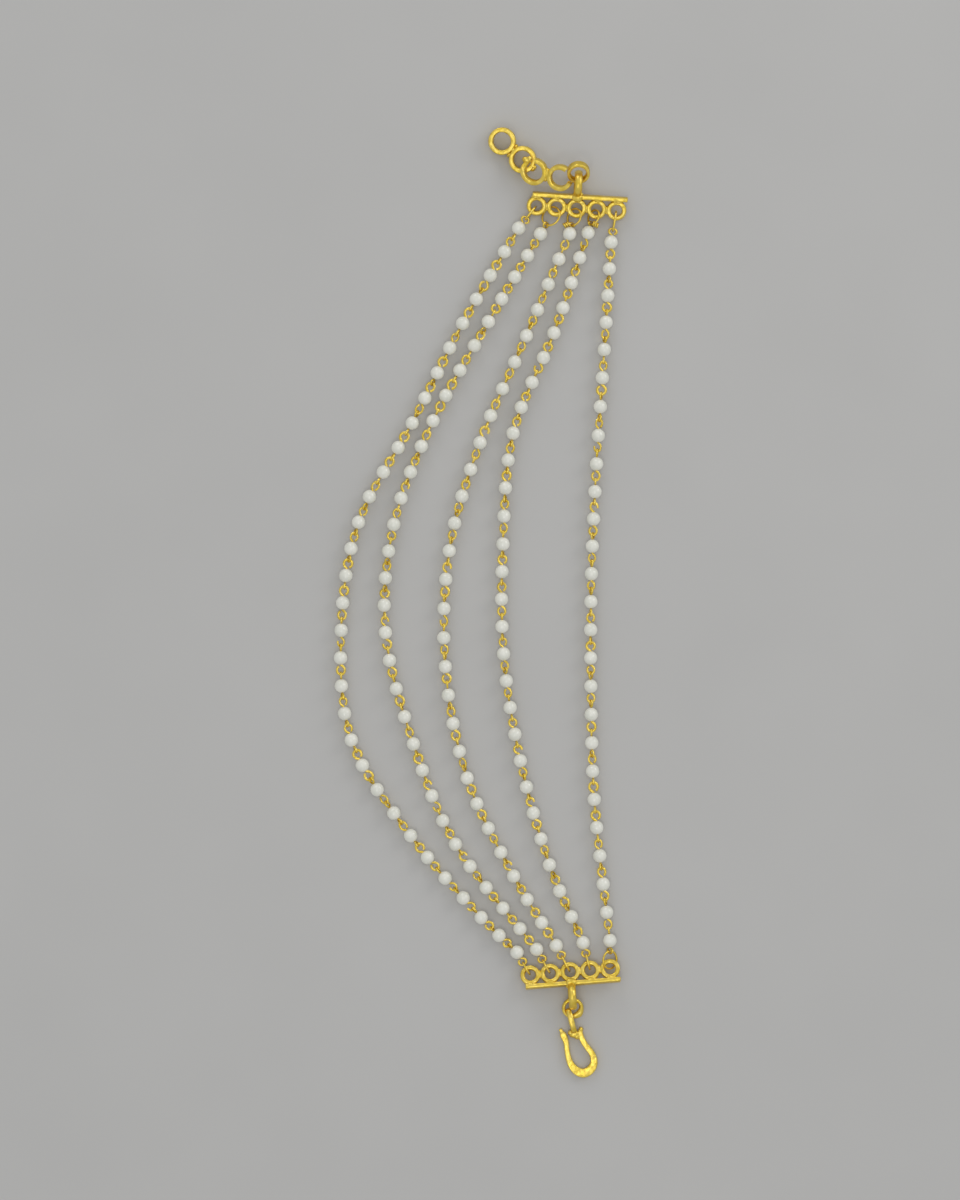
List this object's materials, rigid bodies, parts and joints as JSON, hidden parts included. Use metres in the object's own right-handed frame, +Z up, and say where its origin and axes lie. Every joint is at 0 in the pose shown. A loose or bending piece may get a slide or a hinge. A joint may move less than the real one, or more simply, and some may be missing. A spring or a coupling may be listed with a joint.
{
  "type": "ear chain",
  "caption": "Multi-strand ear chain: rows of small pearls on wire links between two ringed end bars, with a soldered ring adjuster at one end and a flat hook at the other.",
  "frame": {"origin": "under the middle of the whole ear chain, on the surface that it lies on", "axes": "+Y from the hook end to the adjuster end, +X towards the straight strand, +Z up from the surface"},
  "size_m": [0.0526, 0.1698, 0.0061],
  "materials": {
    "gold": "polished",
    "pearl": "pearlescent"
  },
  "bodies": {
    "root": {"top_bar": "gold", "bottom_bar": "gold", "adjuster_link_1": "gold", "adjuster_link_2": "gold", "adjuster_ring": "gold", "clasp_ring": "gold", "ear_hook": "gold", "top_loop_1": "gold", "top_loop_2": "gold", "top_loop_3": "gold", "top_loop_4": "gold", "top_loop_5": "gold", "bottom_loop_1": "gold", "bottom_loop_2": "gold", "bottom_loop_3": "gold", "bottom_loop_4": "gold", "bottom_loop_5": "gold", "strand_1": "pearl", "strand_2": "pearl", "strand_3": "pearl", "strand_4": "pearl", "strand_5": "pearl"}
  },
  "joints": []
}
